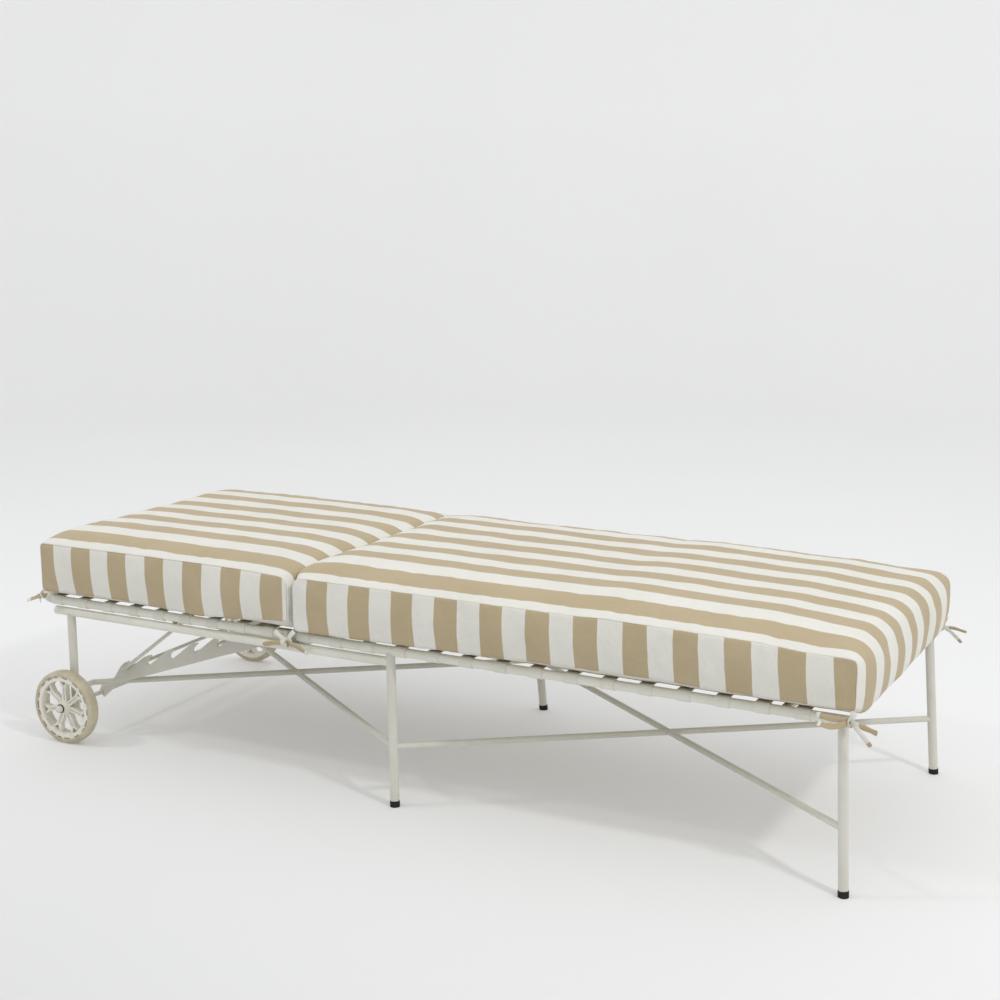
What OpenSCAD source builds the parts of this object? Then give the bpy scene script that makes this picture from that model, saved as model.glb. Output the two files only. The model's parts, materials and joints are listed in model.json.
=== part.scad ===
// Reclining sun lounger: a welded tube frame on two wheels, a deck of flat straps,
// a backrest that a prop bar holds in a toothed rack, and two box cushions tied to the frame.
// X runs from the head end (-) to the foot end (+), Y from right (-) to left (+), Z up.
// The origin is on the floor under the middle of the lounger.

/* [Overall] */
// Length from the head end of the back frame to the foot end of the cushion
total_l = 1896; // [1896:2:1930]
// Distance between the side rails, centre to centre
rail_gap = 650; // [640:2:660]
// Height of the seat and back rails, centre line
rail_z = 322; // [320:1:326]
// Drop from the seat rails down to the base rails, centre to centre
rail_drop = 24; // [24:1:26]
// From the foot legs to the middle legs
foot_bay = 935; // [925:1:945]
// From the middle legs to the head legs
head_bay = 840; // [830:1:850]
// From the middle legs to the hinge of the backrest
hinge_back = 235; // [233:1:237]

/* [Tubes and rods] */
// Diameter of the frame tubes
tube_d = 19; // [18:0.5:19.5]
// Diameter of the crossed stretcher rods
stretcher_d = 13; // [11:0.5:14]
// Height of the stretcher rods on the legs
stretcher_z = 125; // [120:1:130]
// Diameter of the prop bar
prop_d = 8; // [7:0.5:8]
// How far each foot stands out sideways from its rail
splay_y = 23; // [15:1:28]
// How far each foot stands towards the foot end from the top of its leg
splay_x = 20; // [10:1:25]

/* [Wheels] */
// Wheel diameter over the tyre
wheel_d = 168; // [164:1:172]
// Width of the tyre
tyre_w = 31; // [28:1:32]
// Diameter of the axle rod
axle_d = 10; // [9:0.5:10]
// Number of spokes
spokes = 7; // [6:1:8]

/* [Recline] */
// Distance between neighbouring notches of the rack
notch_pitch = 70; // [70:0.5:71]
// Number of notches
notches = 5; // [5:1:5]
// Slope of the racks above level, degrees
rack_slope = 19.4; // [19:0.1:19.8]
// Distance of each rack from the middle of the lounger
rack_y = 235; // [230:1:238]
// Height of the prop bar where it rests in the first notch
prop_foot_z = 151; // [150:0.5:152]
// Slope of the prop arms with the back flat, degrees
prop_slope = 37.5; // [37:0.5:38]

/* [Straps] */
// Width of a strap
strap_w = 28; // [26:1:28]
// Thickness of a strap
strap_t = 1.5; // [1.2:0.1:1.6]
// Straps on the seat
seat_straps_n = 15; // [13:1:15]
// Straps on the back
back_straps_n = 9; // [7:1:9]

/* [Cushions] */
// Width of the cushions
pad_w = 710; // [690:2:720]
// Thickness of the cushions
pad_t = 131; // [120:1:134]

/* [Hidden] */
$fn = 48;

cream = "#d6d3c2";
strap_colour = "#e4e2d6";
plastic = "#e2dfd2";
rubber = "#c3baa0";
black = "#26241f";
cloth = "#cdbd98";

// Frame stations along X
head_x = -total_l / 2;
foot_x = total_l / 2;
foot_leg_x = foot_x - 26;
mid_leg_x = foot_leg_x - foot_bay;
head_leg_x = mid_leg_x - head_bay;
hinge_x = mid_leg_x - hinge_back;
base_stub_x = head_leg_x - 42;
rail_y = rail_gap / 2;
base_z = rail_z - rail_drop;
tube_r = tube_d / 2;
rail_end = 12;
foot_cross_x = foot_leg_x - 110;
seat_cross_x = hinge_x + 69;
back_cross_x = hinge_x - 98;
bend_r = 38;
head_tube_x = head_x + tube_r;

// Legs and feet
cap_base = 4;
cap_h = 12;
cap_r = 10.25;
leg_end_drop = 14;

// Stretchers, where they meet the head legs
head_rod_z = 119;
head_rod_y = 272;
head_rod_x = head_leg_x + 10;

// Hinge of the backrest
plate_t = 4;
plate_in = rail_y - tube_r - plate_t;
plate_gap = 0.3;
pin_d = 8;
bore_gap = 0.1;

// Prop bar: its pivot on the back rails, and its foot in the first notch
prop_y = 250;
prop_pivot_z = rail_z - 11;
prop_foot_x = hinge_x - 528;
prop_pivot_x = prop_foot_x + (prop_pivot_z - prop_foot_z) / tan(prop_slope);

// Racks: a tooth outline in its own plane, U along the rack and V square to it
rack_t = 3;
seat_u = 5;
seat_v = 4.7;
rack_x = prop_foot_x - seat_u * cos(rack_slope) + seat_v * sin(rack_slope);
rack_z = prop_foot_z - seat_u * sin(rack_slope) - seat_v * cos(rack_slope);

// Wheels
wheel_r = wheel_d / 2;
rim_r = wheel_r - 11;
barrel_r = rim_r - 9;
wheel_y = rail_y + tube_r + 6 + tyre_w / 2;
hub_half = 19;
hub_r = 15;
bush_r = 8;
washer_t = 1.5;
face_gap = 0.3;

// Straps
strap_pitch = 76.2;
back_pitch = 72;
wrap_r = tube_r + strap_t;
wrap_gap = 0.05;
seat_strap_x = hinge_x + 31;
back_strap_x = hinge_x - 62;

// Cushions
pad_z = rail_z + wrap_r + 4;
pad_round = 40;
fold_angle = 20;
fold_gap = 3;

// A round rod from point a to point b, turned about its own line
module rod(a, b, d, turn = 0) {
    v = b - a;
    l = norm(v);
    translate(a) rotate([0, acos(v.z / l), atan2(v.y, v.x)]) rotate(turn) cylinder(h = l, d = d);
}

// A flat plate outline drawn in X and Z, standing in the XZ plane from y to y + t
module upright(y, t) {
    translate([0, y + t, 0]) rotate([90, 0, 0]) linear_extrude(t) children();
}

function leg_foot(x, s) = [x + splay_x, s * (rail_y + splay_y), 0];
function leg_top(x, s) = [x, s * rail_y, rail_z];
function leg_at(x, s, z) = leg_top(x, s) + (leg_foot(x, s) - leg_top(x, s)) * (rail_z - z) / rail_z;

module rail_bar(x0, x1, s, z) {
    rod([x0, s * rail_y, z], [x1, s * rail_y, z], tube_d);
}

module side_leg(x, s) {
    color(cream) difference() {
        rod(leg_at(x, s, cap_base), leg_top(x, s), tube_d);
        rail_bar(x - 60, x + 60, s, rail_z);
    }
}

module base_rail(s) {
    color(cream) difference() {
        rail_bar(base_stub_x, mid_leg_x, s, base_z);
        rod(leg_at(mid_leg_x, s, 0), leg_top(mid_leg_x, s), tube_d);
    }
}

module seat_rail(s) {
    color(cream) rail_bar(hinge_x + rail_end, foot_leg_x + rail_end, s, rail_z);
}

// A cross tube between two side rails
module cross_tube(x, z) {
    color(cream) difference() {
        rod([x, -rail_y, z], [x, rail_y, z], tube_d);
        for (s = [-1, 1]) rail_bar(x - 40, x + 40, s, z);
    }
}

module head_leg(s) {
    color(cream) difference() {
        rod([head_leg_x, s * rail_y, wheel_r - leg_end_drop], [head_leg_x, s * rail_y, base_z], tube_d);
        rail_bar(head_leg_x - 40, head_leg_x + 40, s, base_z);
        axle(0);
    }
}

// Rubber cap round the leg, cut flat on the floor
module foot_cap(x, s) {
    color(black) difference() {
        rod(leg_at(x, s, -cap_h), leg_at(x, s, cap_h), 2 * cap_r, 40);
        rod(leg_at(x, s, cap_base), leg_at(x, s, 60), tube_d, 40);
        translate([x - 50, s * rail_y - 50, -60]) cube([100, 100, 60]);
    }
}

module foot_rod(s) {
    rod(leg_at(mid_leg_x, -s, stretcher_z), leg_at(foot_leg_x, s, stretcher_z), stretcher_d);
}

module trim_foot_legs(s) {
    rod(leg_at(mid_leg_x, -s, 40), leg_top(mid_leg_x, -s), tube_d);
    rod(leg_at(foot_leg_x, s, 40), leg_top(foot_leg_x, s), tube_d);
}

// The second rod is coped round the first where they cross
module foot_stretcher(s) {
    color(cream) difference() {
        foot_rod(s);
        trim_foot_legs(s);
        if (s > 0) foot_rod(-s);
    }
}

function elbow(s) = [head_rod_x, s * head_rod_y, head_rod_z];

module head_rod(s) {
    start = leg_at(mid_leg_x, -s, stretcher_z);
    rod(start, elbow(s) + (elbow(s) - start) * 0.004, stretcher_d);
}

module head_stretcher(s) {
    color(cream) difference() {
        union() {
            head_rod(s);
            rod(elbow(s), [head_leg_x, s * rail_y, head_rod_z], stretcher_d);
        }
        rod(leg_at(mid_leg_x, -s, 40), leg_top(mid_leg_x, -s), tube_d);
        rod([head_leg_x, s * rail_y, 0], [head_leg_x, s * rail_y, base_z], tube_d);
        if (s > 0) head_rod(-s);
    }
}

// Top edge of one tooth and the notch in front of it, left to right
function tooth(u) = concat(
    [[u + 17, 20.4], [u + 19.5, 19.6], [u + 19, 18.2], [u + 11, 14.6], [u + 3.5, 11]],
    [for (a = [170:20:290]) [u + seat_u + seat_v * cos(a), seat_v + seat_v * sin(a)]],
    [[u + 20, 4.6], [u + 40, 11.8], [u + 62, 19.2], [u + 76, 21.2]]
);

module rack_outline() {
    last = notch_pitch * (notches - 1);
    polygon(concat(
        [[-98, -30], [-84, -17], [-38, -7.5], [-26, 2.2], [-10, 13.8], [4, 19]],
        [for (i = [0:notches - 1]) each tooth(i * notch_pitch)],
        [[last + 90, 18], [556, -16], [556, -40], [470, -24], [last, -22], [0, -23], [-40, -27], [-88, -46]]
    ));
}

module rack(s) {
    color(cream) difference() {
        translate([rack_x, 0, rack_z]) rotate([0, -rack_slope, 0])
            upright(s * rack_y - rack_t / 2, rack_t) rack_outline();
        rod([hinge_x, -rail_y, base_z], [hinge_x, rail_y, base_z], tube_d);
        head_rod(s);
        axle(0);
    }
}

// Outer hinge plate, welded to the inside of the seat rail and the base rail
module hinge_plate(s) {
    y0 = s > 0 ? plate_in : -plate_in - plate_t;
    color(cream) difference() {
        upright(y0, plate_t) union() {
            translate([hinge_x, rail_z]) circle(r = 13);
            translate([hinge_x - 13, base_z - 6]) square([29, rail_z - base_z + 6]);
            translate([hinge_x, rail_z - 9]) square([16, 18]);
        }
        hinge_bore(pin_d + 2 * wrap_gap);
        rod([hinge_x, -rail_y, base_z], [hinge_x, rail_y, base_z], tube_d);
    }
}

module hinge_bore(d) {
    rod([hinge_x, -rail_y, rail_z], [hinge_x, rail_y, rail_z], d);
}

// Inner hinge plate, held off the back rail by a pad so that it clears the outer plate
module back_hinge_plate(s) {
    inner = plate_in - plate_gap - plate_t;
    y0 = s > 0 ? inner : -inner - plate_t;
    pad_y = s > 0 ? inner : -rail_y + tube_r;
    color(cream) difference() {
        union() {
            upright(y0, plate_t) union() {
                translate([hinge_x, rail_z]) circle(r = 12);
                translate([hinge_x - 46, rail_z - 8]) square([46, 16]);
            }
            upright(pad_y, 2 * plate_t + plate_gap)
                translate([hinge_x - 46, rail_z - 8]) square([24, 16]);
        }
        hinge_bore(pin_d + 2 * bore_gap);
    }
}

module hinge_pin(s) {
    head = s * (rail_y - tube_r);
    tip = s * (plate_in - plate_gap - plate_t - 6);
    color(cream) union() {
        rod([hinge_x, head, rail_z], [hinge_x, tip, rail_z], pin_d);
        rod([hinge_x, head, rail_z], [hinge_x, head + s * 4, rail_z], 14);
        rod([hinge_x, tip, rail_z], [hinge_x, tip + s * 5.5, rail_z], 12);
    }
}

// A strap laid over both rails and wrapped once round each
module strap(x) {
    translate([x - strap_w / 2, 0, rail_z]) rotate([90, 0, 90]) linear_extrude(strap_w) difference() {
        union() {
            for (s = [-1, 1]) translate([s * rail_y, 0]) circle(r = wrap_r);
            translate([-rail_y, tube_r]) square([rail_gap, strap_t]);
        }
        for (s = [-1, 1]) translate([s * rail_y, 0]) circle(r = tube_r + wrap_gap);
    }
}

module seat_straps() {
    color(strap_colour) for (i = [0:seat_straps_n - 1]) strap(seat_strap_x + i * strap_pitch);
}

module back_straps() {
    color(strap_colour) for (i = [0:back_straps_n - 1]) strap(back_strap_x - i * back_pitch);
}

module axle(grow) {
    reach = wheel_y + hub_half + 10;
    rod([head_leg_x, -reach, wheel_r], [head_leg_x, reach, wheel_r], axle_d + 2 * grow);
}

// Places a piece drawn round the Z axis on the axle, with +Z pointing outwards
module on_axle(s) {
    translate([head_leg_x, s * wheel_y, wheel_r]) rotate([-s * 90, 0, 0]) children();
}

module axle_rod() {
    color(cream) axle(0);
}

module axle_nuts() {
    out = hub_half + 2 * face_gap + washer_t;
    color(cream) for (s = [-1, 1]) difference() {
        on_axle(s) translate([0, 0, out]) rotate_extrude()
            polygon([[0, 0], [8, 0], [8, 5], [6.5, 9], [3, 11.5], [0, 12]]);
        axle(0);
    }
}

module wheel_washers() {
    color(black) for (s = [-1, 1]) on_axle(s) for (z = [hub_half + face_gap, -hub_half - face_gap - washer_t])
        translate([0, 0, z]) difference() {
            cylinder(h = washer_t, r = 10);
            translate([0, 0, -1]) cylinder(h = washer_t + 2, d = axle_d + 2 * wrap_gap);
        }
}

// One spoke: a blade with a groove down the middle that forks at the rim
module spoke() {
    difference() {
        translate([0, 0, -7]) linear_extrude(14) difference() {
            polygon([[hub_r - 3, -6.4], [45, -5], [barrel_r + 1, -15], [barrel_r + 1, 15], [45, 5], [hub_r - 3, 6.4]]);
            polygon([[50, 0], [barrel_r - 3, -8], [barrel_r - 3, 8]]);
        }
        for (z = [-9, 4.5]) translate([hub_r + 2, -1.6, z]) cube([29, 3.2, 4.5]);
    }
}

module wheel_rim(s) {
    half = tyre_w / 2 - 2;
    seat = barrel_r + 3;
    color(plastic) on_axle(s) rotate(90 - 180 / spokes) difference() {
        union() {
            rotate_extrude() polygon([
                [barrel_r - 2, -half], [rim_r, -half], [rim_r, 3 - half], [seat, 3 - half],
                [seat, half - 3], [rim_r, half - 3], [rim_r, half], [barrel_r - 2, half],
                [barrel_r - 2, half - 2], [barrel_r, half - 4], [barrel_r, 4 - half], [barrel_r - 2, 2 - half]
            ]);
            for (i = [0:spokes - 1]) rotate((i + 0.5) * 360 / spokes) spoke();
            translate([0, 0, -hub_half]) cylinder(h = 2 * hub_half, r = hub_r - 2);
            translate([0, 0, -12]) cylinder(h = 24, r = hub_r);
        }
        translate([0, 0, -hub_half - 1]) cylinder(h = 2 * hub_half + 2, r = bush_r);
    }
}

// Rubber ring that sits between the rim's flanges and bulges outside them
module tyre(s) {
    half = tyre_w / 2;
    foot = half - 5.2;
    seat = barrel_r + 3.05;
    color(rubber) on_axle(s) rotate_extrude() polygon([
        [seat, -foot], [rim_r + 0.1, -foot], [rim_r + 0.1, -half + 1], [rim_r + 2, -half],
        [wheel_r - 4, -half + 1.5], [wheel_r - 1, -half + 5], [wheel_r, -half + 10], [wheel_r, half - 10],
        [wheel_r - 1, half - 5], [wheel_r - 4, half - 1.5], [rim_r + 2, half], [rim_r + 0.1, half - 1],
        [rim_r + 0.1, foot], [seat, foot]
    ]);
}

module hub_bush(s) {
    color(black) on_axle(s) difference() {
        translate([0, 0, -hub_half]) cylinder(h = 2 * hub_half, r = bush_r - wrap_gap);
        translate([0, 0, -hub_half - 1]) cylinder(h = 2 * hub_half + 2, d = axle_d + 2 * wrap_gap);
    }
}

module back_rail(s) {
    color(cream) rail_bar(head_tube_x + bend_r, hinge_x - rail_end, s, rail_z);
}

// Head end of the back frame: one tube with a bend at each corner
module back_head_tube() {
    color(cream) translate([head_tube_x, 0, rail_z]) union() {
        rod([0, bend_r - rail_y, 0], [0, rail_y - bend_r, 0], tube_d);
        for (s = [0, 1]) mirror([0, s, 0]) translate([bend_r, rail_y - bend_r, 0])
            rotate(90) rotate_extrude(angle = 90) translate([bend_r, 0]) circle(d = tube_d);
    }
}

// Tab under the back rail that the prop arm swings in
module prop_bracket(s) {
    y0 = s > 0 ? plate_in : -plate_in - plate_t;
    color(cream) difference() {
        upright(y0, plate_t) union() {
            translate([prop_pivot_x, prop_pivot_z]) circle(r = 8);
            translate([prop_pivot_x - 8, prop_pivot_z]) square([16, 16]);
        }
        prop_axis(prop_d + 2 * bore_gap);
    }
}

module prop_axis(d) {
    rod([prop_pivot_x, -rail_y, prop_pivot_z], [prop_pivot_x, rail_y, prop_pivot_z], d);
}

module cross_rod() {
    rod([prop_foot_x, -prop_y, prop_foot_z], [prop_foot_x, prop_y, prop_foot_z], prop_d);
    for (s = [-1, 1]) translate([prop_foot_x, s * prop_y, prop_foot_z]) sphere(d = prop_d);
}

module prop_cross_rod() {
    color(cream) cross_rod();
}

// Arm of the prop bar with the short end that turns in the bracket
module prop_arm(s) {
    knee = [prop_pivot_x, s * prop_y, prop_pivot_z];
    color(cream) difference() {
        union() {
            rod([prop_foot_x, s * prop_y, prop_foot_z], knee, prop_d);
            translate(knee) sphere(d = prop_d);
            rod(knee, [prop_pivot_x, s * (rail_y - tube_r + 1), prop_pivot_z], prop_d);
        }
        cross_rod();
    }
}

// Cushion block with a rounded end and a slanted face at the fold, drawn with the fold at x = 0
module pad(l) {
    lean = (pad_z - rail_z) * tan(fold_angle) + fold_gap;
    translate([0, -pad_w / 2, 0]) rotate([90, 0, 0]) mirror([0, 0, 1]) linear_extrude(pad_w) union() {
        polygon([
            [lean, 0], [l, 0], [l, pad_t - pad_round], [l - pad_round, pad_t],
            [lean + pad_t * tan(fold_angle), pad_t]
        ]);
        translate([l - pad_round, pad_t - pad_round]) circle(r = pad_round);
    }
}

module seat_cushion() {
    color(cloth) translate([hinge_x, 0, pad_z]) pad(foot_x - hinge_x);
}

module back_cushion() {
    color(cloth) translate([hinge_x, 0, pad_z]) mirror([1, 0, 0]) pad(hinge_x - head_x - 22);
}

// Fabric tie: a knot beside the rail with two short tails
module tie(x, s) {
    knot_y = rail_y + wrap_r + 8;
    color(cloth) translate([x, s * knot_y, rail_z - 4]) union() {
        rotate([90, 0, 0]) cylinder(h = 12, d = 16, center = true);
        for (a = [28, 152]) rotate([0, a, 0]) translate([0, -2, -6]) cube([44, 4, 12]);
    }
}

base_rail(-1);  // base_rail_right
base_rail(1);  // base_rail_left
seat_rail(-1);  // seat_rail_right
seat_rail(1);  // seat_rail_left
cross_tube(foot_cross_x, rail_z);  // foot_cross_tube
cross_tube(seat_cross_x, rail_z);  // seat_cross_tube
cross_tube(hinge_x, base_z);  // rack_cross_tube
side_leg(foot_leg_x, -1);  // foot_leg_right
side_leg(foot_leg_x, 1);  // foot_leg_left
side_leg(mid_leg_x, -1);  // mid_leg_right
side_leg(mid_leg_x, 1);  // mid_leg_left
head_leg(-1);  // head_leg_right
head_leg(1);  // head_leg_left
foot_cap(foot_leg_x, -1);  // foot_cap_front_right
foot_cap(foot_leg_x, 1);  // foot_cap_front_left
foot_cap(mid_leg_x, -1);  // foot_cap_mid_right
foot_cap(mid_leg_x, 1);  // foot_cap_mid_left
foot_stretcher(-1);  // foot_stretcher_a
foot_stretcher(1);  // foot_stretcher_b
head_stretcher(-1);  // head_stretcher_a
head_stretcher(1);  // head_stretcher_b
rack(-1);  // rack_right
rack(1);  // rack_left
hinge_plate(-1);  // hinge_plate_right
hinge_plate(1);  // hinge_plate_left
hinge_pin(-1);  // hinge_pin_right
hinge_pin(1);  // hinge_pin_left
seat_straps();
axle_rod();
axle_nuts();
wheel_washers();
wheel_rim(-1);  // wheel_rim_right
wheel_rim(1);  // wheel_rim_left
tyre(-1);  // tyre_right
tyre(1);  // tyre_left
hub_bush(-1);  // hub_bush_right
hub_bush(1);  // hub_bush_left
back_rail(-1);  // back_rail_right
back_rail(1);  // back_rail_left
back_head_tube();
cross_tube(back_cross_x, rail_z);  // back_cross_tube
back_hinge_plate(-1);  // back_hinge_plate_right
back_hinge_plate(1);  // back_hinge_plate_left
prop_bracket(-1);  // prop_bracket_right
prop_bracket(1);  // prop_bracket_left
back_straps();
prop_arm(-1);  // prop_arm_right
prop_arm(1);  // prop_arm_left
prop_cross_rod();
seat_cushion();
back_cushion();
tie(head_tube_x + bend_r, -1);  // head_tie_right
tie(head_tube_x + bend_r, 1);  // head_tie_left
tie(hinge_x + 6, -1);  // fold_tie_right
tie(hinge_x + 6, 1);  // fold_tie_left
tie(foot_leg_x - 8, -1);  // foot_tie_right
tie(foot_leg_x - 8, 1);  // foot_tie_left
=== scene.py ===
"""The looks of the sun lounger, built round its CAD frame: cushions, ties, paint, light and camera.

Metres, in the CAD's own frame: X runs to the foot end, Y to the left side, Z up.
"""

import json
import math
from collections import namedtuple

import bmesh
import bpy
import numpy as np
from mathutils import Matrix, Vector, noise


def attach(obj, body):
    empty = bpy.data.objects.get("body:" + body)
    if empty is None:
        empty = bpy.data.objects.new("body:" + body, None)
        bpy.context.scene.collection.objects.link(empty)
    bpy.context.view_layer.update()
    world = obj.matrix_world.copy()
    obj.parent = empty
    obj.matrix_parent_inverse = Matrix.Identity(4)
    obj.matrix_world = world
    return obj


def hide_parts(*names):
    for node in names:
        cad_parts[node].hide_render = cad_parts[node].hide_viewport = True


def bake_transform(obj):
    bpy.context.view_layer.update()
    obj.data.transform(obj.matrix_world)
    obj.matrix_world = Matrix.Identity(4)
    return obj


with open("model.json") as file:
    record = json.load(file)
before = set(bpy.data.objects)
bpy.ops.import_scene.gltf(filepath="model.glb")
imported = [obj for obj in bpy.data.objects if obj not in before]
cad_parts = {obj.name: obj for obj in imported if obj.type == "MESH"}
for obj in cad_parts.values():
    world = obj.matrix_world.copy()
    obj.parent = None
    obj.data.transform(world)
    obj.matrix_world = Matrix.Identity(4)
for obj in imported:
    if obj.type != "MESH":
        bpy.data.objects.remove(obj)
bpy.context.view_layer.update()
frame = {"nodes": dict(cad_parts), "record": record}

# The frame, as in the CAD
AXLE_X = -0.853
AXLE_Z = 0.084
FLANGE_Y = 0.3695  # outer face of a wheel's flange

# The cushions
FOLD_X = -0.240  # where the two meet
FOOT_X = 0.950
HEAD_X = -0.908
HALF_W = 0.3535
PAD_LOW = 0.3415  # their underside, on the straps
SEAM_Z = 0.4555  # the upper side seams
STRIPE = 0.0508
TOP_STRIPES = 13  # whole stripes between the white bands beside the two seams
SEAM_TO_STRIPE = 0.027  # width of those white bands
CELL = 0.0125  # length of the lattice's quads
CELLS_ACROSS = 64
CELLS_UP = 8
SIM_FRAMES = 20

# The ties
TAPE_W = 0.011
TAPE_T = 0.0016
KNOT_SIZE = 0.0062

# Colours, in linear light
TAN = (0.515, 0.42, 0.27, 1)
WHITE = (0.80, 0.79, 0.735, 1)

# One tape of a tie: its flat length, the points it runs through, the way its flat side looks, how far it
# twists, and where it starts in the stripes
Tape = namedtuple("Tape", "length points facing turn start")


class Graph:
    """One material's node tree, with short ways to add nodes and join them."""

    def __init__(self, name, **settings):
        self.mat = bpy.data.materials.new(name)
        self.mat.use_nodes = True
        self.tree = self.mat.node_tree
        self.bsdf = self.tree.nodes["Principled BSDF"]
        for key, value in settings.items():
            self.bsdf.inputs[key.replace("_", " ")].default_value = value

    def put(self, socket, value):
        if isinstance(value, bpy.types.NodeSocket):
            self.tree.links.new(value, socket)
        else:
            socket.default_value = value

    def node(self, kind, inputs=None, **settings):
        made = self.tree.nodes.new("ShaderNode" + kind)
        for key, value in settings.items():
            setattr(made, key, value)
        for key, value in (inputs or {}).items():
            self.put(made.inputs[key], value)
        return made

    def place(self):
        return self.node("TexCoord").outputs["Object"]

    def uv(self, name):
        return self.node("UVMap", uv_map=name).outputs["UV"]

    def split(self, vector):
        parts = self.node("SeparateXYZ", {"Vector": vector})
        return parts.outputs["X"], parts.outputs["Y"], parts.outputs["Z"]

    def math(self, operation, a, b=0.0, c=0.0):
        return self.node("Math", {0: a, 1: b, 2: c}, operation=operation).outputs[0]

    def scaled(self, vector, scale):
        return self.node("Mapping", {"Vector": vector, "Scale": scale}).outputs[0]

    def noise(self, vector, scale, detail=2.0, roughness=0.5):
        inputs = {"Vector": vector, "Scale": scale, "Detail": detail, "Roughness": roughness}
        return self.node("TexNoise", inputs).outputs["Fac"]

    def steps(self, value, low, high, out_low=0.0, out_high=1.0):
        inputs = {"Value": value, "From Min": low, "From Max": high, "To Min": out_low, "To Max": out_high}
        return self.node("MapRange", inputs).outputs["Result"]

    def mix(self, share, a, b, blend="MIX"):
        made = self.node("Mix", data_type="RGBA", blend_type=blend)
        for socket, value in ((made.inputs[0], share), (made.inputs[6], a), (made.inputs[7], b)):
            self.put(socket, value)
        return made.outputs[2]

    def bump(self, height, strength, distance, under=None):
        made = self.node("Bump", {"Height": height, "Strength": strength, "Distance": distance})
        if under is not None:
            self.put(made.inputs["Normal"], under)
        return made.outputs["Normal"]

    def finish(self, colour=None, roughness=None, normal=None):
        for key, value in (("Base Color", colour), ("Roughness", roughness), ("Normal", normal)):
            if value is not None:
                self.put(self.bsdf.inputs[key], value)
        return self.mat


def canvas(name):
    """Woven canvas in tan and white stripes. UV map Cloth holds metres across and along the stripes."""
    g = Graph(name, Sheen_Weight=0.18, Sheen_Roughness=0.5, Specular_IOR_Level=0.22)
    across, along, _ = g.split(g.uv("Cloth"))
    place = g.place()
    waver = g.steps(g.noise(place, 11.0), 0.3, 0.7, -0.0013, 0.0013)
    turn = g.math("FRACT", g.math("DIVIDE", g.math("ADD", across, waver), 2 * STRIPE))
    edge = 0.004
    rise = g.steps(turn, 0.0, edge)
    fall = g.steps(turn, 0.5, 0.5 + edge, 1.0, 0.0)
    tan = g.math("MULTIPLY", rise, fall)
    blotch = g.noise(place, 9.0, 4.0)
    slub = g.noise(g.scaled(g.uv("Cloth"), (900.0, 60.0, 1.0)), 1.0, 2.0)
    clean = g.steps(blotch, 0.3, 0.7)
    dull_tan = (TAN[0] * 0.93, TAN[1] * 0.925, TAN[2] * 0.90, 1)
    dull_white = (WHITE[0] * 0.96, WHITE[1] * 0.955, WHITE[2] * 0.935, 1)
    tan_colour = g.mix(clean, dull_tan, TAN)
    white_colour = g.mix(clean, dull_white, WHITE)
    colour = g.mix(tan, white_colour, tan_colour)
    colour = g.mix(g.steps(slub, 0.35, 0.75, 0.0, 0.10), colour, (0.35, 0.30, 0.22, 1), "MULTIPLY")
    # Painted shade: the cloth darkens within about two millimetres of each seam, for the shadow line in the
    # seams
    to_seam, _, _ = g.split(g.uv("Seam"))
    painted_seam_shade = g.steps(to_seam, 0.0003, 0.0022, 0.45, 0.0)
    colour = g.mix(painted_seam_shade, colour, (0.42, 0.38, 0.28, 1), "MULTIPLY")
    warp = g.math("SINE", g.math("MULTIPLY", across, 2 * math.pi / 0.0011))
    weft = g.math("SINE", g.math("MULTIPLY", along, 2 * math.pi / 0.0013))
    weave = g.math("MULTIPLY", warp, weft)
    normal = g.bump(weave, 0.35, 0.00025)
    normal = g.bump(g.noise(place, 60.0, 3.0), 0.25, 0.0010, normal)
    normal = g.bump(g.noise(place, 17.0, 4.0, 0.55), 0.5, 0.0075, normal)
    rough = g.steps(blotch, 0.2, 0.8, 0.82, 0.94)
    return g.finish(colour, rough, normal)


def powder_coat(name, dull, clean):
    """Cream powder coat: orange peel, a little dirt in patches and small dark rubs."""
    g = Graph(name, Specular_IOR_Level=0.42)
    place = g.place()
    patch = g.noise(place, 7.0, 5.0, 0.6)
    colour = g.mix(g.steps(patch, 0.35, 0.7), dull, clean)
    rubs = g.noise(g.scaled(place, (60.0, 220.0, 220.0)), 1.0, 4.0, 0.7)
    colour = g.mix(g.steps(rubs, 0.69, 0.74, 0.0, 0.55), colour, (0.16, 0.14, 0.10, 1))
    specks = g.noise(place, 620.0, 2.0)
    colour = g.mix(g.steps(specks, 0.74, 0.79, 0.0, 0.5), colour, (0.22, 0.19, 0.14, 1))
    normal = g.bump(g.noise(place, 900.0, 2.0), 0.12, 0.0004)
    normal = g.bump(g.noise(place, 90.0, 3.0), 0.10, 0.0010, normal)
    return g.finish(colour, g.steps(patch, 0.3, 0.7, 0.36, 0.52), normal)


def strap_vinyl():
    """Off-white extruded strap: fine ribs along it, slightly dulled."""
    g = Graph("strap_vinyl", Specular_IOR_Level=0.4)
    place = g.place()
    x, _, _ = g.split(place)
    patch = g.noise(place, 11.0, 4.0)
    colour = g.mix(g.steps(patch, 0.3, 0.7), (0.70, 0.69, 0.61, 1), (0.79, 0.78, 0.695, 1))
    grime = g.noise(place, 75.0, 4.0, 0.65)
    colour = g.mix(g.steps(grime, 0.62, 0.78, 0.0, 0.35), colour, (0.36, 0.32, 0.24, 1))
    ribs = g.math("SINE", g.math("MULTIPLY", x, 2 * math.pi / 0.0024))
    normal = g.bump(ribs, 0.25, 0.00015)
    normal = g.bump(g.noise(place, 140.0, 2.0), 0.15, 0.0006, normal)
    return g.finish(colour, g.steps(patch, 0.3, 0.7, 0.40, 0.55), normal)


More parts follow.
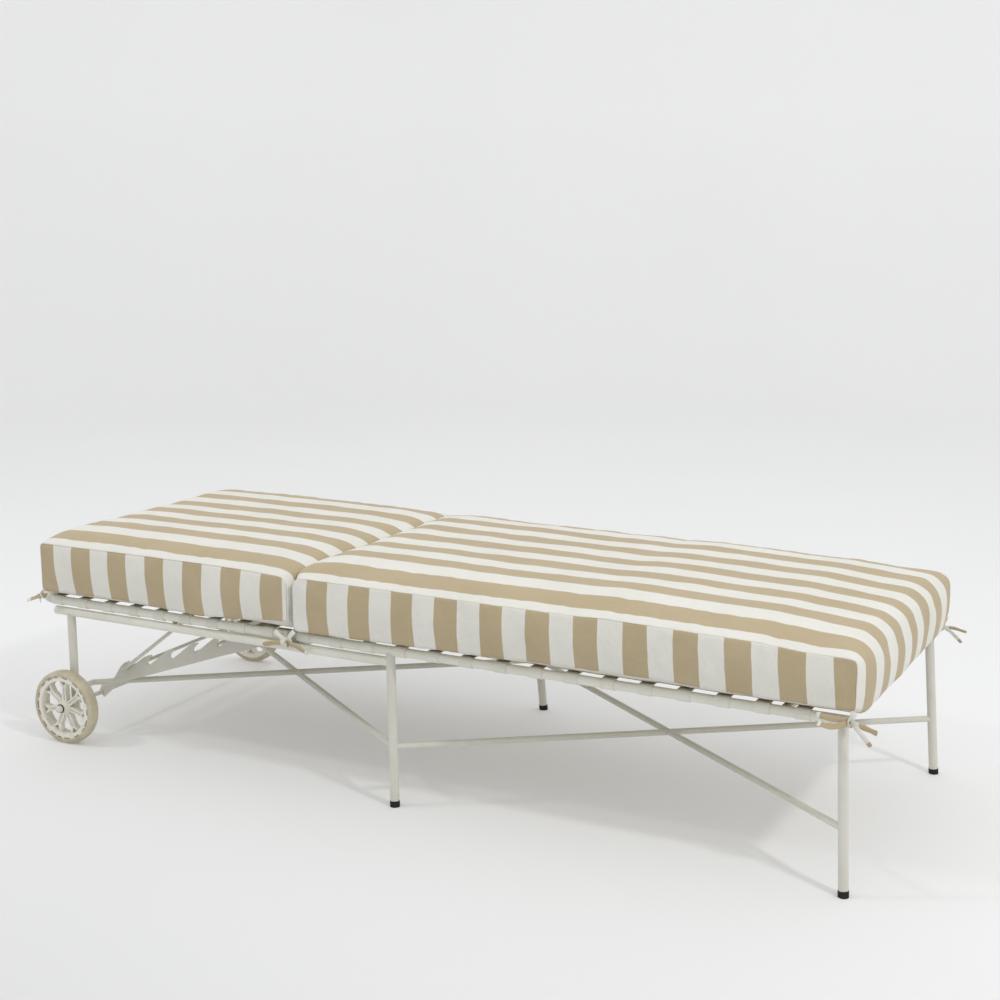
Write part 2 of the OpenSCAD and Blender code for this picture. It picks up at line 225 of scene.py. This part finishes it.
def wheel_plastic():
    """Moulded cream plastic, a little grubby in patches."""
    g = Graph("wheel_plastic", Specular_IOR_Level=0.45)
    place = g.place()
    patch = g.noise(place, 26.0, 5.0, 0.6)
    colour = g.mix(g.steps(patch, 0.3, 0.75), (0.72, 0.69, 0.60, 1), (0.84, 0.82, 0.74, 1))
    grime = g.noise(place, 160.0, 4.0, 0.7)
    colour = g.mix(g.steps(grime, 0.63, 0.75, 0.0, 0.5), colour, (0.30, 0.26, 0.18, 1))
    normal = g.bump(g.noise(place, 420.0, 2.0), 0.12, 0.0004)
    return g.finish(colour, g.steps(patch, 0.3, 0.7, 0.38, 0.55), normal)


def rubber(name, light, dark, grain):
    """Rubber or rubbery plastic, dusty in patches; grain is the fineness of its surface."""
    g = Graph(name, Specular_IOR_Level=0.3)
    place = g.place()
    patch = g.noise(place, 30.0, 5.0, 0.65)
    colour = g.mix(g.steps(patch, 0.32, 0.68), dark, light)
    normal = g.bump(g.noise(place, grain, 3.0), 0.2, 0.0006)
    return g.finish(colour, g.steps(patch, 0.3, 0.7, 0.62, 0.82), normal)


def lattice_ring(nx, nz):
    """Lattice places round a side panel, as (i, k): along the bottom from the fold, up, back and down."""
    ring = [(i, 0) for i in range(nx)] + [(nx, k) for k in range(nz)]
    return ring + [(i, nz) for i in range(nx, 0, -1)] + [(0, k) for k in range(nz, 0, -1)]


def ease(value, low, high):
    """0 below low, 1 above high, smooth between."""
    t = min(1.0, max(0.0, (value - low) / (high - low)))
    return t * t * (3 - 2 * t)


def rounded(x, z, size, radii):
    """Moves a point on the rim of a size rectangle on to its rounded corner, if it is near one."""
    length, height = size
    corners = ((0, 0), (length, 0), (length, height), (0, height))
    for (cx, cz), r in zip(corners, radii):
        dx, dz = abs(x - cx), abs(z - cz)
        if dx < r and dz < r:
            ox, oz = (1 if cx == 0 else -1), (1 if cz == 0 else -1)
            near = max(dx, dz) / r
            angle = math.radians(45) * (1 - near) if dx > dz else math.radians(45) * (1 + near)
            return cx + ox * r * (1 - math.sin(angle)), cz + oz * r * (1 - math.cos(angle))
    return x, z


class Cushion:
    """A box cushion: two side panels and one long panel wrapped over the top and both ends.

    Built with its fold end at X = 0 and growing to +X, as a closed lattice of quads."""

    def __init__(self, name, length, end_round, stripes, hem, dip, fill, meet):
        """stripes: where the side panels' first tan stripe starts, how far they are gathered, their lean;
        hem and dip: how far the lower and upper seams rise or fall along the cushion;
        fill: height of the filling over the seams from side to side; meet: reach of the fold."""
        self.name, self.length = name, length
        self.end_round = end_round
        self.fill = fill
        self.first_tan, self.gather, self.lean = stripes
        self.hem = hem
        self.dip = dip
        self.meet = meet
        self.height = SEAM_Z - PAD_LOW
        self.nx = round(length / CELL)
        self.ny = CELLS_ACROSS
        self.nz = CELLS_UP
        self.ring = lattice_ring(self.nx, self.nz)

    def rim(self, i, k, s=0.0):
        """The outline at a distance s in from the side seam: the fold corner is sharper in the middle and
        the other end sharper at the seam."""
        x = self.length * i / self.nx
        z = self.height * k / self.nz
        end = self.end_round * (0.3 + 0.7 * ease(s, 0.0, 0.04))
        radii = (0.006, 0.002, end, 0.020 - 0.016 * ease(s, 0.012, 0.04))
        x, z = rounded(x, z, (self.length, self.height), radii)
        low = 1 - z / self.height
        curl = 0.022 + 0.014 * ease(x, 0.02, 0.10)
        lift = float(np.interp(x, *self.hem)) * (1 - ease(s, 0.0, curl)) * low**2
        sag = (0.0045 + 0.0032 * ease(x, 0.10, 0.20)) * ease(s, 0.012, 0.045) * low**4
        return x, z + lift - sag + float(np.interp(x, *self.dip)) * (1 - low)

    def crown(self, x, y, s):
        """How far the filling lifts the top above the seams."""
        fold = 0.46 + 0.54 * ease(x, -0.02, 0.075)
        foot = 0.70 + 0.30 * math.sin(min(1.0, (self.length - x) / 0.11) * math.pi / 2)
        return float(np.interp(y, *self.fill)) * math.tanh(s / 0.06) * fold * foot

    def wrap_point(self, i, k, j):
        """A point on the wrapped panel: the rim's outline, pushed out by the filling between the seams."""
        y = -HALF_W + 2 * HALF_W * j / self.ny
        s = HALF_W - abs(y)
        x, z = self.rim(i, k, s)
        share = min(1.0, max(0.0, z / self.height))
        up = self.crown(x, y, s) * share**2 if k else 0.0
        belly = 0.72 + 0.28 * ease(share, 0.0, 0.4)
        out = 0.0
        if x > self.length - 0.05:
            out = 0.013 * math.tanh(s / 0.035) * belly * (x - self.length + 0.05) / 0.05
        if x < 0.04:
            out = -self.meet * ease(s, 0.010, 0.036) * (1 - x / 0.04)
        return Vector((x + out, y, z + up))

    def side_point(self, i, k, sign):
        """A point on a side panel: the rim's outline filled in, bulging a little in the middle."""
        u, v = i / self.nx, k / self.nz
        low, high = Vector(self.rim(i, 0)), Vector(self.rim(i, self.nz))
        left, right = Vector(self.rim(0, k)), Vector(self.rim(self.nx, k))
        places = ((0, 0), (self.nx, 0), (0, self.nz), (self.nx, self.nz))
        corners = [Vector(self.rim(*place)) for place in places]
        flat = low * (1 - v) + high * v + left * (1 - u) + right * u
        flat -= (
            corners[0] * (1 - u) * (1 - v)
            + corners[1] * u * (1 - v)
            + corners[2] * (1 - u) * v
            + corners[3] * u * v
        )
        edge = min(flat.x, self.length - flat.x) / 0.05
        bulge = 0.0045 * math.sin(math.pi * v) * math.tanh(max(0.0, edge))
        return Vector((flat.x, sign * (HALF_W + bulge), flat.y))

    def build(self):
        """The closed mesh, with UV map Cloth in metres, UV map Seam and a crease on its seams."""
        bm = bmesh.new()
        uv = bm.loops.layers.uv.new("Cloth")
        seam = bm.loops.layers.uv.new("Seam")
        crease = bm.edges.layers.float.new("crease_edge")
        rows = [[bm.verts.new(self.wrap_point(i, k, j)) for i, k in self.ring] for j in range(self.ny + 1)]
        around = self.arc_lengths()
        across = self.panel_widths()
        width = across[-1]
        count = len(self.ring)
        for j in range(self.ny):
            for n in range(count):
                m = (n + 1) % count
                face = bm.faces.new((rows[j][n], rows[j][m], rows[j + 1][m], rows[j + 1][n]))
                ends = (around[n], around[n + 1], around[n + 1], around[n])
                sides = (across[j], across[j], across[j + 1], across[j + 1])
                for loop, a, b in zip(face.loops, ends, sides):
                    loop[uv].uv = (b - SEAM_TO_STRIPE, a)
                    loop[seam].uv = (min(b, width - b), a)
        for sign, row in ((-1, rows[0]), (1, rows[-1])):
            self.fill_side(bm, uv, seam, row, sign)
            for n in range(count):
                bm.edges.get((row[n], row[(n + 1) % count]))[crease] = 0.75
        bmesh.ops.recalc_face_normals(bm, faces=bm.faces)
        return mesh_object(self.name, bm)

    def arc_lengths(self):
        """Distance round the seam, for each place of the lattice's ring."""
        points = [Vector(self.rim(i, k)) for i, k in self.ring]
        total = [0.0]
        for n, point in enumerate(points):
            total.append(total[-1] + (points[(n + 1) % len(points)] - point).length)
        return total

    def panel_widths(self):
        """Distance from the near seam along the panel, for each column of the lattice."""
        middle = [self.wrap_point(self.nx // 2, self.nz, j) for j in range(self.ny + 1)]
        total = [0.0]
        for a, b in zip(middle, middle[1:]):
            total.append(total[-1] + (b - a).length)
        spread = (2 * SEAM_TO_STRIPE + TOP_STRIPES * STRIPE) / total[-1]
        return [t * spread for t in total]

    def fill_side(self, bm, uv, seam, row, sign):
        """A side panel of quads inside the rim's row of vertices, with its own stripes."""
        rim = dict(zip(self.ring, row))
        grid = {}
        for i in range(self.nx + 1):
            for k in range(self.nz + 1):
                grid[i, k] = rim.get((i, k)) or bm.verts.new(self.side_point(i, k, sign))
        for i in range(self.nx):
            for k in range(self.nz):
                face = bm.faces.new((grid[i, k], grid[i + 1, k], grid[i + 1, k + 1], grid[i, k + 1]))
                for loop in face.loops:
                    co = loop.vert.co
                    edge = min(co.z, self.height - co.z, co.x, self.length - co.x)
                    lean = self.lean * co.x / self.length * (co.z - self.height / 2)
                    loop[uv].uv = ((co.x - self.first_tan) * self.gather + lean, co.z)
                    loop[seam].uv = (max(0.0, edge), co.x)


def mesh_object(name, bm):
    """A smooth shaded object in the scene, made from the bmesh, which it frees."""
    mesh = bpy.data.meshes.new(name)
    bm.to_mesh(mesh)
    bm.free()
    mesh.polygons.foreach_set("use_smooth", [True] * len(mesh.polygons))
    obj = bpy.data.objects.new(name, mesh)
    bpy.context.scene.collection.objects.link(obj)
    return obj


def add_modifier(obj, kind, **settings):
    made = obj.modifiers.new(kind.title(), kind)
    for key, value in settings.items():
        setattr(made, key, value)
    return made


def apply_modifiers(obj):
    """Replaces the object's mesh by what its modifiers make of it."""
    shown = obj.evaluated_get(bpy.context.evaluated_depsgraph_get())
    mesh = bpy.data.meshes.new_from_object(shown)
    obj.modifiers.clear()
    old, obj.data = obj.data, mesh
    bpy.data.meshes.remove(old)


def points_of(mesh):
    co = np.empty(len(mesh.vertices) * 3)
    mesh.vertices.foreach_get("co", co)
    return co.reshape(-1, 3)


def set_points(mesh, co):
    mesh.vertices.foreach_set("co", np.ascontiguousarray(co).ravel())
    mesh.update()


def hold(obj, shape):
    """Vertex group that pins the underside and, almost as firmly, the seams."""
    group = obj.vertex_groups.new(name="held")
    count = len(shape.ring)
    under = {n for n, (i, k) in enumerate(shape.ring) if k == 0}
    for j in range(shape.ny + 1):
        group.add([j * count + n for n in under], 1.0, "REPLACE")
    for j in (0, shape.ny):
        group.add([j * count + n for n in range(count) if n not in under], 0.97, "REPLACE")
    return group


def swell(obj, shape, slack, limit):
    """Lets a slightly loose cover fill out under pressure, by no more than limit."""
    cloth = obj.modifiers.new("Cloth", "CLOTH")
    cloth.settings.quality = 4
    cloth.settings.mass = 0.3
    cloth.settings.tension_stiffness = 30
    cloth.settings.compression_stiffness = 30
    cloth.settings.shear_stiffness = 12
    cloth.settings.bending_stiffness = 0.35
    cloth.settings.shrink_min = -slack
    cloth.settings.use_pressure = True
    cloth.settings.uniform_pressure_force = 4
    cloth.settings.vertex_group_mass = hold(obj, shape).name
    cloth.settings.effector_weights.gravity = 0
    scene = bpy.context.scene
    for number in range(1, SIM_FRAMES + 1):
        scene.frame_set(number)
    rest = points_of(obj.data)
    moved = points_of(obj.evaluated_get(bpy.context.evaluated_depsgraph_get()).data)
    step = moved - rest
    far = np.linalg.norm(step, axis=1, keepdims=True)
    obj.modifiers.clear()
    scene.frame_set(1)
    set_points(obj.data, rest + step * (limit * np.tanh(far / limit) / np.maximum(far, 1e-9)))


def rumple(obj, seed):
    """Soft dents over the cover and short puckers beside its seams."""
    mesh = obj.data
    co = points_of(mesh)
    normals = np.array([v.normal for v in mesh.vertices])
    near = np.full(len(co), 1.0)
    along = np.zeros(len(co))
    seam = mesh.uv_layers["Seam"].data
    for loop in mesh.loops:
        u, v = seam[loop.index].uv
        near[loop.vertex_index], along[loop.vertex_index] = u, v
    for n, point in enumerate(co):
        soft = noise.noise(Vector((point[0] * 6 + seed, point[1] * 8, point[2] * 8)))
        fine = noise.noise(Vector((point[0] * 19, point[1] * 19 + seed, point[2] * 12)))
        pucker = noise.noise(Vector((along[n] * 48 + seed, point[1] * 3, 0)))
        amount = 0.0018 * soft + 0.0015 * fine + 0.0028 * pucker * math.exp(-near[n] / 0.014)
        co[n] += normals[n] * amount * ease(near[n], -0.002, 0.004)
    set_points(mesh, co)


def make_cushion(shape, place, mirror, seed, material):
    """A finished cover at its place in the frame, turned head to foot if mirror is set."""
    obj = shape.build()
    obj.data.materials.append(material)
    swell(obj, shape, 0.008, 0.005)
    add_modifier(obj, "SUBSURF", levels=1, render_levels=1)
    apply_modifiers(obj)
    rumple(obj, seed)
    co = points_of(obj.data)
    if mirror:
        co[:, 0] *= -1
        obj.data.flip_normals()
    set_points(obj.data, co + np.array(place))
    return obj


def smooth_path(points, steps):
    """Points along a smooth curve through the given ones."""
    pts = [Vector(p) for p in points]
    pts = [pts[0] * 2 - pts[1]] + pts + [pts[-1] * 2 - pts[-2]]
    path = []
    for a, b, c, d in zip(pts, pts[1:], pts[2:], pts[3:]):
        bend = 2 * a - 5 * b + 4 * c - d
        twist = 3 * b - a - 3 * c + d
        for n in range(steps):
            t = n / steps
            path.append(0.5 * (2 * b + (c - a) * t + bend * t * t + twist * t**3))
    return path + [pts[-2]]


def tape_ring(bm, point, ahead, flat, done, start):
    """Six corners of a tape's cross-section, a little uneven in width and cupped across."""
    wide = ahead.cross(flat)
    half = TAPE_W / 2 * (1 + 0.10 * math.sin(done * 260 + start))
    cup = 0.0011 * math.sin(done * 150 + 2 * start)
    ring = []
    for across, out in ((-1, 1), (0, 1), (1, 1), (1, -1), (0, -1), (-1, -1)):
        lift = out * TAPE_T / 2 + cup * (1 - abs(across))
        ring.append(bm.verts.new(point + wide * across * half + flat * lift))
    return ring


def skin_tape(bm, rings, spots, start):
    """The faces between a tape's rings, with their place in the stripes, and its two cut ends."""
    uv = bm.loops.layers.uv.new("Cloth")
    seam = bm.loops.layers.uv.new("Seam")
    for a, b, da, db in zip(rings, rings[1:], spots, spots[1:]):
        for n in range(6):
            m = (n + 1) % 6
            face = bm.faces.new((a[n], b[n], b[m], a[m]))
            for loop, d in zip(face.loops, (da, db, db, da)):
                loop[uv].uv = (start + d, 0.01 * n)
                loop[seam].uv = (0.1, d)
    for end in (rings[0][::-1], rings[-1]):
        bm.faces.new(end)
    bmesh.ops.recalc_face_normals(bm, faces=bm.faces)


def make_tape(name, points, facing, turn, start, material, steps=7):
    """A narrow folded tape along a path; facing is the way its flat side looks, turn how far it twists."""
    path = smooth_path(points, steps)
    facing = Vector(facing)
    total = sum((b - a).length for a, b in zip(path, path[1:]))
    bm = bmesh.new()
    rings = []
    spots = []
    done = 0.0
    for n, point in enumerate(path):
        ahead = (path[min(n + 1, len(path) - 1)] - path[max(n - 1, 0)]).normalized()
        if n:
            done += (point - path[n - 1]).length
        flat = facing - ahead * ahead.dot(facing)
        flat = (Matrix.Rotation(turn * done / total, 3, ahead) @ flat.normalized()).normalized()
        rings.append(tape_ring(bm, point, ahead, flat, done, start))
        spots.append(done)
    skin_tape(bm, rings, spots, start)
    obj = mesh_object(name, bm)
    obj.data.materials.append(material)
    add_modifier(obj, "SUBSURF", levels=1, render_levels=1)
    apply_modifiers(obj)
    return obj


def make_knot(name, place, size, start, material):
    """The wraps of a knot: one and a half turns of tape round the gathered tapes."""
    centre = Vector(place)
    ring = []
    for n in range(13):
        a = n * math.pi / 4
        grown = size * (1 + 0.03 * n)
        ring.append(centre + Vector((0.0016 * (n % 3 - 1), size * 0.8 * math.sin(a), grown * math.cos(a))))
    ring.append(centre + Vector((0.004, -size * 0.6, -size * 0.4)))
    return make_tape(name, ring, (1, 0, 0), 0.9, start, material, 3)


def node_holding(node):
    """The frame part that a tie is knotted round."""
    side = node.rsplit("_", 1)[1]
    kind = node.split("_", 1)[0]
    return {"head": "back_rail_" + side, "fold": "seat_rail_" + side, "foot": "foot_leg_" + side}[kind]


def tie(node, body, side, knot, tapes, material):
    """The tapes and knot of one tie, in place of its CAD node; side is -1 or 1 for right or left."""

    def flip(p):
        return (p[0], side * p[1], p[2])

    wraps = make_knot(node + "_knot", flip(knot), KNOT_SIZE, 0.055, material)
    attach(wraps, body)
    for n, tape in enumerate(tapes):
        points = [flip(p) for p in tape.points]
        label = f"{node}_tape_{'abc'[n]}"
        piece = make_tape(label, points, flip(tape.facing), tape.turn, tape.start, material)
        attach(piece, body)
        node_holding(node)
        if n == 0:
            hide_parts(node)


def head_tie():
    """The right head corner's knot and tapes."""
    knot = (-0.905, 0.356, 0.342)
    outer = ((-0.897, 0.347, 0.352), knot, (-0.922, 0.360, 0.332), (-0.949, 0.362, 0.322))
    inner = ((-0.893, 0.350, 0.352), knot, (-0.913, 0.358, 0.331), (-0.920, 0.350, 0.320))
    return knot, (
        Tape(0.065, outer, (0, 1, 0.4), 0.5, 0.000),
        Tape(0.046, inner, (0, 1, 0.2), 0.3, 0.060),
    )


def fold_tie():
    """The right knot and tapes at the fold: each tape crosses to the other cushion's side."""
    knot = (-0.249, 0.351, 0.3155)
    from_back = (
        (-0.283, 0.344, 0.333),
        (-0.266, 0.350, 0.325),
        knot,
        (-0.222, 0.355, 0.310),
        (-0.193, 0.357, 0.2985),
    )
    from_seat = (
        (-0.229, 0.351, 0.341),
        (-0.239, 0.352, 0.330),
        knot,
        (-0.279, 0.354, 0.310),
        (-0.306, 0.356, 0.3035),
    )
    return knot, (
        Tape(0.098, from_back, (0, 1, 0.2), 0.5, 0.062),
        Tape(0.092, from_seat, (0, 1, 0.3), -0.6, 0.055),
    )


def foot_tie():
    """The right foot corner's knot, its two tapes and the loose end beside them."""
    knot = (0.9405, 0.350, 0.329)
    short = (
        (0.949, 0.354, 0.350),
        (0.946, 0.355, 0.340),
        knot,
        (0.966, 0.356, 0.325),
        (0.993, 0.360, 0.3185),
    )
    long = (
        (0.880, 0.352, 0.3345),
        (0.905, 0.356, 0.3325),
        knot,
        (0.962, 0.358, 0.314),
        (0.983, 0.362, 0.2935),
    )
    loose = (
        (0.936, 0.354, 0.327),
        (0.918, 0.359, 0.320),
        (0.900, 0.361, 0.3195),
        (0.885, 0.358, 0.3215),
    )
    return knot, (
        Tape(0.080, short, (0, 1, 0.3), 0.5, 0.060),
        Tape(0.119, long, (0, 1, 0.2), 0.4, 0.094),
        Tape(0.054, loose, (0, 1, 0.2), 0.6, 0.004),
    )


def make_ties(cloth):
    """The three ties on each side; the left ones are the right ones mirrored."""
    for side, word in ((-1, "right"), (1, "left")):
        tie("head_tie_" + word, "backrest", side, *head_tie(), cloth)
        tie("fold_tie_" + word, "base", side, *fold_tie(), cloth)
        tie("foot_tie_" + word, "base", side, *foot_tie(), cloth)


def make_cushions(cloth):
    """The seat and back covers, which meet at the hinge."""
    across_bed = (-0.30, -0.20, 0.13, 0.30)
    seat_start, back_start = FOLD_X + 0.0095, FOLD_X - 0.0045
    seat_shape = Cushion(
        "seat_cushion_cover",
        length=FOOT_X - seat_start,
        end_round=0.024,
        stripes=(0.0373, 1.012, 0.08),
        hem=((0.0, 0.40, 0.72, 0.95, 1.19), (-0.001, 0.006, 0.0135, 0.0095, 0.0085)),
        dip=(
            (0.0, 0.62, 0.70, 0.80, 0.90, 1.0, 1.09, 1.19),
            (0.0, -0.002, 0.001, -0.001, -0.0035, -0.0045, -0.0105, -0.013),
        ),
        fill=(across_bed, (0.0250, 0.0250, 0.0195, 0.0150)),
        meet=0.0098,
    )
    seat = make_cushion(seat_shape, (seat_start, 0, PAD_LOW), False, 3.0, cloth)
    back_shape = Cushion(
        "back_cushion_cover",
        length=back_start - HEAD_X,
        end_round=0.012,
        stripes=(0.0110, 1.003, -0.09),
        hem=((0.0, 0.23, 0.45, 0.668), (0.0195, 0.0015, 0.0105, 0.006)),
        dip=((0.0, 0.06, 0.12, 0.25, 0.45, 0.668), (-0.002, -0.0005, 0.0025, 0.0035, 0.0025, 0.001)),
        fill=(across_bed, (0.0185, 0.0185, 0.0110, 0.0100)),
        meet=0.0049,
    )
    back = make_cushion(back_shape, (back_start, 0, PAD_LOW), True, 8.0, cloth)
    for piece, node in ((seat, "seat_cushion"), (back, "back_cushion")):
        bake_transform(piece)
        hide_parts(node)


def paint_frame():
    """Gives every CAD node a worked-up material by its slot in the record."""
    finishes = {
        "frame_paint": powder_coat("frame_powder_coat", (0.61, 0.595, 0.52, 1), (0.69, 0.675, 0.60, 1)),
        "strap": strap_vinyl(),
        "wheel_plastic": wheel_plastic(),
        "tyre_rubber": rubber("tyre_rubber", (0.60, 0.55, 0.42, 1), (0.45, 0.40, 0.285, 1), 300.0),
        "black_rubber": rubber("black_rubber", (0.022, 0.021, 0.019, 1), (0.012, 0.011, 0.010, 1), 400.0),
        "black_plastic": rubber("black_plastic", (0.030, 0.028, 0.024, 1), (0.018, 0.017, 0.015, 1), 500.0),
    }
    # The rails get a paler copy of the powder coat: partly the cream vinyl wrapped round them, partly
    # painted light for the light they lack under the cushions
    rail_wrap_tone_and_painted_light = powder_coat("rail_powder_coat_and_painted_light", (0.74, 0.725, 0.64, 1), (0.83, 0.815, 0.73, 1))
    for part in frame["record"]["subparts"]:
        if part["material_slot"] in finishes:
            for held in frame["nodes"][part["node"]].material_slots:
                held.material = rail_wrap_tone_and_painted_light if "_rail_" in part["node"] else finishes[part["material_slot"]]


def rim_slots(side, name, body, material):
    """The ring of short slots near the edge of a wheel's outer flange, with the tyre showing in them: thin
    strips just proud of the flange, in the tyre's colour darkened as painted shade.
    """
    bm = bmesh.new()
    count, inner, outer, steps = 18, 0.0700, 0.0724, 5
    face, proud = side * FLANGE_Y, side * 0.0008
    for slot in range(count):
        span = (0.19 + 0.04 * math.sin(slot * 2.3)) / 2
        centre = 2 * math.pi * (slot + 0.18 * math.sin(slot * 1.7)) / count
        rows = []
        for a in np.linspace(centre - span, centre + span, steps):
            rows.append([
                bm.verts.new((AXLE_X + r * math.cos(a), face + out * proud, AXLE_Z + r * math.sin(a)))
                for r, out in ((inner, 0), (inner, 1), (outer, 1), (outer, 0))
            ])
        for a, b in zip(rows, rows[1:]):
            for n in range(4):
                bm.faces.new((a[n], b[n], b[(n + 1) % 4], a[(n + 1) % 4]))
        for end in (rows[0], rows[-1]):
            bm.faces.new(end)
    bmesh.ops.recalc_face_normals(bm, faces=bm.faces)
    obj = mesh_object(name, bm)
    obj.data.materials.append(material)
    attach(obj, body)


def make_rim_slots():
    """The slots of both wheels, in one dusty rubber: the tyre's colour darkened as painted shade in the
    slots.
    """
    shaded_slot_rubber = rubber("shaded_slot_rubber", (0.42, 0.36, 0.25, 1), (0.30, 0.25, 0.17, 1), 500.0)
    rim_slots(-1, "rim_slots_right", "wheel_right", shaded_slot_rubber)
    rim_slots(1, "rim_slots_left", "wheel_left", shaded_slot_rubber)


def stage_profile():
    """The studio's outline from its middle outwards, as (radius, height): flat floor, bend and wall."""
    flat, bend, wall = 5.2, 1.4, 2.5
    profile = [(0.0, 0.0)] + [(flat * n / 8, 0.0) for n in range(1, 9)]
    for a in np.linspace(0, math.pi / 2, 14)[1:]:
        profile.append((flat + bend * math.sin(a), bend * (1 - math.cos(a))))
    return profile + [(flat + bend, wall)]


def stage_mesh():
    """The outline turned round the middle of the floor."""
    bm = bmesh.new()
    count = 96
    turns = np.linspace(0, 2 * math.pi, count, endpoint=False)
    rings = []
    for r, z in stage_profile():
        if r == 0:
            rings.append([bm.verts.new((0, 0, z))] * count)
        else:
            rings.append([bm.verts.new((r * math.cos(a), r * math.sin(a), z)) for a in turns])
    for low, high in zip(rings, rings[1:]):
        for n in range(count):
            m = (n + 1) % count
            corners = [low[n], high[n], high[m], low[m]]
            bm.faces.new(corners[:3] if low[n] is low[m] else corners)
    bmesh.ops.recalc_face_normals(bm, faces=bm.faces)
    return bm


def stage_paper():
    """Pale matt paper, darker in front as painted shade, with a faint glow that keeps the shadows on it
    light.
    """
    g = Graph("studio_paper", Specular_IOR_Level=0.1, Emission_Color=(1, 1, 1, 1))
    tone = g.noise(g.place(), 0.6, 2.0)
    x, y, z = g.split(g.place())
    glow = g.math("ADD", g.steps(z, 0.0, 1.6, 0.0, 0.07), g.steps(x, -5.0, 4.0, 0.0, 0.05))
    glow = g.math("ADD", glow, g.steps(y, -2.2, 0.3, 0.0, 0.13))
    g.put(g.bsdf.inputs["Emission Strength"], glow)
    paper = g.mix(tone, (0.69, 0.69, 0.69, 1), (0.73, 0.73, 0.73, 1))
    # Painted shade: the paper darkens towards the front, where more sky falls on it
    front = g.steps(y, -2.8, -0.4, 0.16, 0.0)
    return g.finish(g.mix(front, paper, (0.0, 0.0, 0.0, 1)), 0.9)


def make_stage():
    """A round pale studio floor that curves up into a wall."""
    floor = mesh_object("studio_floor", stage_mesh())
    floor.data.materials.append(stage_paper())


def area_light(name, place, target, size, power):
    """A square or oblong lamp at place that looks at target."""
    data = bpy.data.lights.new(name, "AREA")
    data.shape = "RECTANGLE"
    data.size, data.size_y = size
    data.energy = power
    lamp = bpy.data.objects.new(name, data)
    lamp.location = place
    lamp.rotation_euler = (Vector(target) - Vector(place)).to_track_quat("-Z", "Y").to_euler()
    bpy.context.scene.collection.objects.link(lamp)


def make_light():
    """An even sky, two small lamps from the foot and head ends, and a large weak one above."""
    world = bpy.data.worlds.new("studio")
    world.use_nodes = True
    sky = world.node_tree.nodes["Background"]
    sky.inputs["Color"].default_value = (0.985, 0.992, 1, 1)
    sky.inputs["Strength"].default_value = 0.86
    bpy.context.scene.world = world
    area_light("key", (3.0, -1.27, 3.4), (0.3, 0, 0.2), (0.34, 0.34), 40)
    area_light("head_key", (-2.9, -1.9, 3.2), (-0.5, 0, 0.2), (0.3, 0.3), 20)
    area_light("top", (-0.5, 1.5, 4.2), (0, 0, 0.2), (4.0, 4.0), 10)
    bpy.context.scene.view_settings.view_transform = "Standard"


def make_camera():
    """A long lens in front of the lounger's right side, nearer the foot end, looking slightly down."""
    data = bpy.data.cameras.new("camera")
    data.sensor_width = 36
    data.lens = 59.7
    camera = bpy.data.objects.new("camera", data)
    camera.location = (1.671, -3.0946, 1.2853)
    camera.rotation_euler = (math.radians(90 - 11.401), 0, math.radians(27.375))
    bpy.context.scene.collection.objects.link(camera)
    bpy.context.scene.camera = camera


make_camera()
make_light()
make_stage()
paint_frame()
striped_canvas = canvas("striped_canvas")
make_cushions(striped_canvas)
make_ties(striped_canvas)
make_rim_slots()
